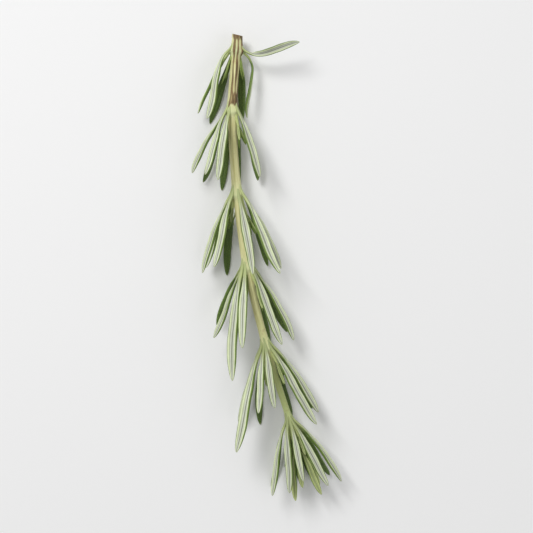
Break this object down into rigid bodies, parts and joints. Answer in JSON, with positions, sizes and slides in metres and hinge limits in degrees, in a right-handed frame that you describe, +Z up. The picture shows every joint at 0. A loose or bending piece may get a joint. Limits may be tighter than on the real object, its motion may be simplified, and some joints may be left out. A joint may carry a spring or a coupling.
{
  "type": "rosemary sprig",
  "caption": "Cut rosemary sprig lying on a surface: a downy tan stem with whorls of narrow leaves, dark green above and felted pale below.",
  "frame": {"origin": "on the surface the sprig lies on, below the middle of its bounding box", "axes": "+Z up from the surface; the stem runs along Y, with its cut end at +Y and its growing tip at -Y"},
  "size_m": [0.048, 0.1496, 0.0203],
  "materials": {
    "stem": "matte",
    "leaf": "satin",
    "young_leaf": "satin"
  },
  "bodies": {
    "root": {"main_stem": "stem", "whorl_1_leaf_1": "leaf", "whorl_1_leaf_2": "leaf", "whorl_1_leaf_3": "leaf", "whorl_1_leaf_4": "leaf", "whorl_1_leaf_5": "leaf", "whorl_1_leaf_6": "leaf", "whorl_2_leaf_1": "leaf", "whorl_2_leaf_2": "leaf", "whorl_2_leaf_3": "leaf", "whorl_2_leaf_4": "leaf", "whorl_2_leaf_5": "leaf", "whorl_2_leaf_6": "leaf", "whorl_2_leaf_7": "leaf", "whorl_2_leaf_8": "leaf", "whorl_2_leaf_9": "leaf", "whorl_3_leaf_1": "leaf", "whorl_3_leaf_2": "leaf", "whorl_3_leaf_3": "leaf", "whorl_3_leaf_4": "leaf", "whorl_3_leaf_5": "leaf", "whorl_3_leaf_6": "leaf", "whorl_3_leaf_7": "leaf", "whorl_3_leaf_8": "leaf", "whorl_3_leaf_9": "leaf", "whorl_4_leaf_1": "leaf", "whorl_4_leaf_2": "leaf", "whorl_4_leaf_3": "leaf", "whorl_4_leaf_4": "leaf", "whorl_4_leaf_5": "leaf", "whorl_4_leaf_6": "leaf", "whorl_4_leaf_7": "leaf", "whorl_4_leaf_8": "leaf", "whorl_4_leaf_9": "leaf", "whorl_5_leaf_1": "leaf", "whorl_5_leaf_2": "leaf", "whorl_5_leaf_3": "leaf", "whorl_5_leaf_4": "leaf", "whorl_5_leaf_5": "leaf", "whorl_5_leaf_6": "leaf", "whorl_5_leaf_7": "leaf", "whorl_5_leaf_8": "leaf", "whorl_5_leaf_9": "leaf", "whorl_6_leaf_1": "leaf", "whorl_6_leaf_2": "leaf", "whorl_6_leaf_3": "leaf", "whorl_6_leaf_4": "leaf", "whorl_6_leaf_5": "leaf", "whorl_6_leaf_6": "leaf", "whorl_6_leaf_7": "leaf", "whorl_6_leaf_8": "leaf", "whorl_6_leaf_9": "leaf", "tip_whorl_leaf_1": "young_leaf", "tip_whorl_leaf_2": "young_leaf", "tip_whorl_leaf_3": "young_leaf", "tip_whorl_leaf_4": "young_leaf", "tip_whorl_leaf_5": "young_leaf", "tip_whorl_leaf_6": "young_leaf", "tip_whorl_leaf_7": "young_leaf", "tip_whorl_leaf_8": "young_leaf"}
  },
  "joints": []
}
